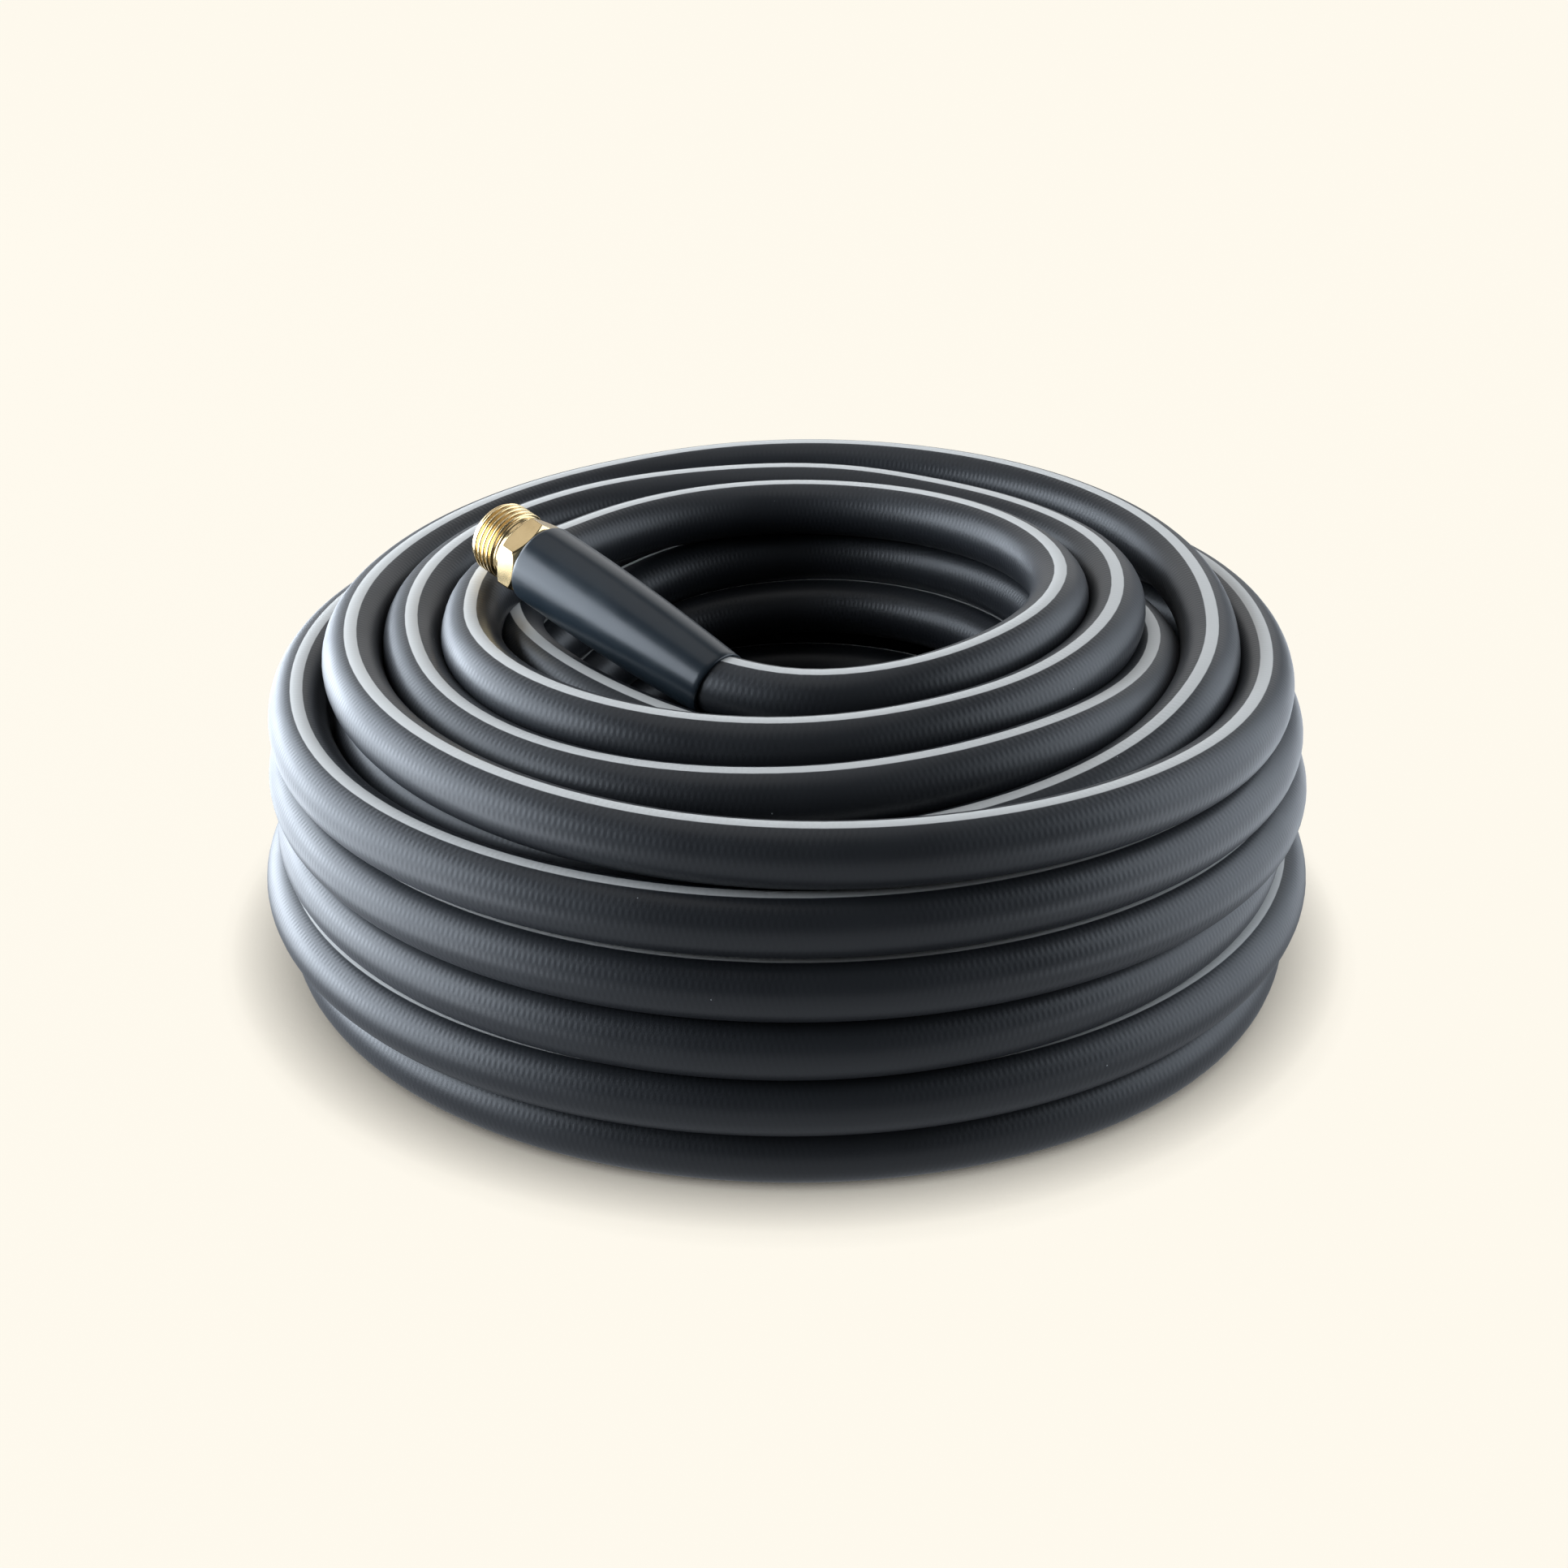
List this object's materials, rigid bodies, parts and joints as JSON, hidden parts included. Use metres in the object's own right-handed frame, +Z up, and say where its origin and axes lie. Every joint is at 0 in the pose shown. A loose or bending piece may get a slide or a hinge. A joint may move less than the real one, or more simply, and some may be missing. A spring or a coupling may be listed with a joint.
{
  "type": "garden hose",
  "caption": "Coiled rubber garden hose with a light stripe, tapered end sleeves, a brass male coupling and a brass swivel nut.",
  "frame": {"origin": "on the floor, below the middle of the part's box", "axes": "+Z up along the coil's axis, -Y towards the side that the hose's male end leaves the coil's mouth from, the hose's female end lies behind the coil and points along -X"},
  "size_m": [0.396, 0.4288, 0.1717],
  "materials": {
    "hose_rubber": "satin dark grey rubber with a light grey stripe along its top",
    "sleeve_plastic": "smooth glossy dark blue-grey moulding",
    "brass": "bright machined brass",
    "washer_rubber": "matt black rubber"
  },
  "bodies": {
    "hose": {"hose_coil": "hose_rubber", "hose_lead": "hose_rubber", "hose_tail": "hose_rubber", "male_sleeve": "sleeve_plastic", "male_coupling": "brass", "female_sleeve": "sleeve_plastic", "female_stem": "brass"},
    "nut": {"swivel_nut": "brass", "hose_washer": "washer_rubber"}
  },
  "joints": [
    {"name": "nut_swivel", "type": "hinge", "parent": "hose", "child": "nut", "pos_m": [-0.105, 0.19761, 0.01718], "axis": [-1, 0, 0], "continuous": true}
  ]
}
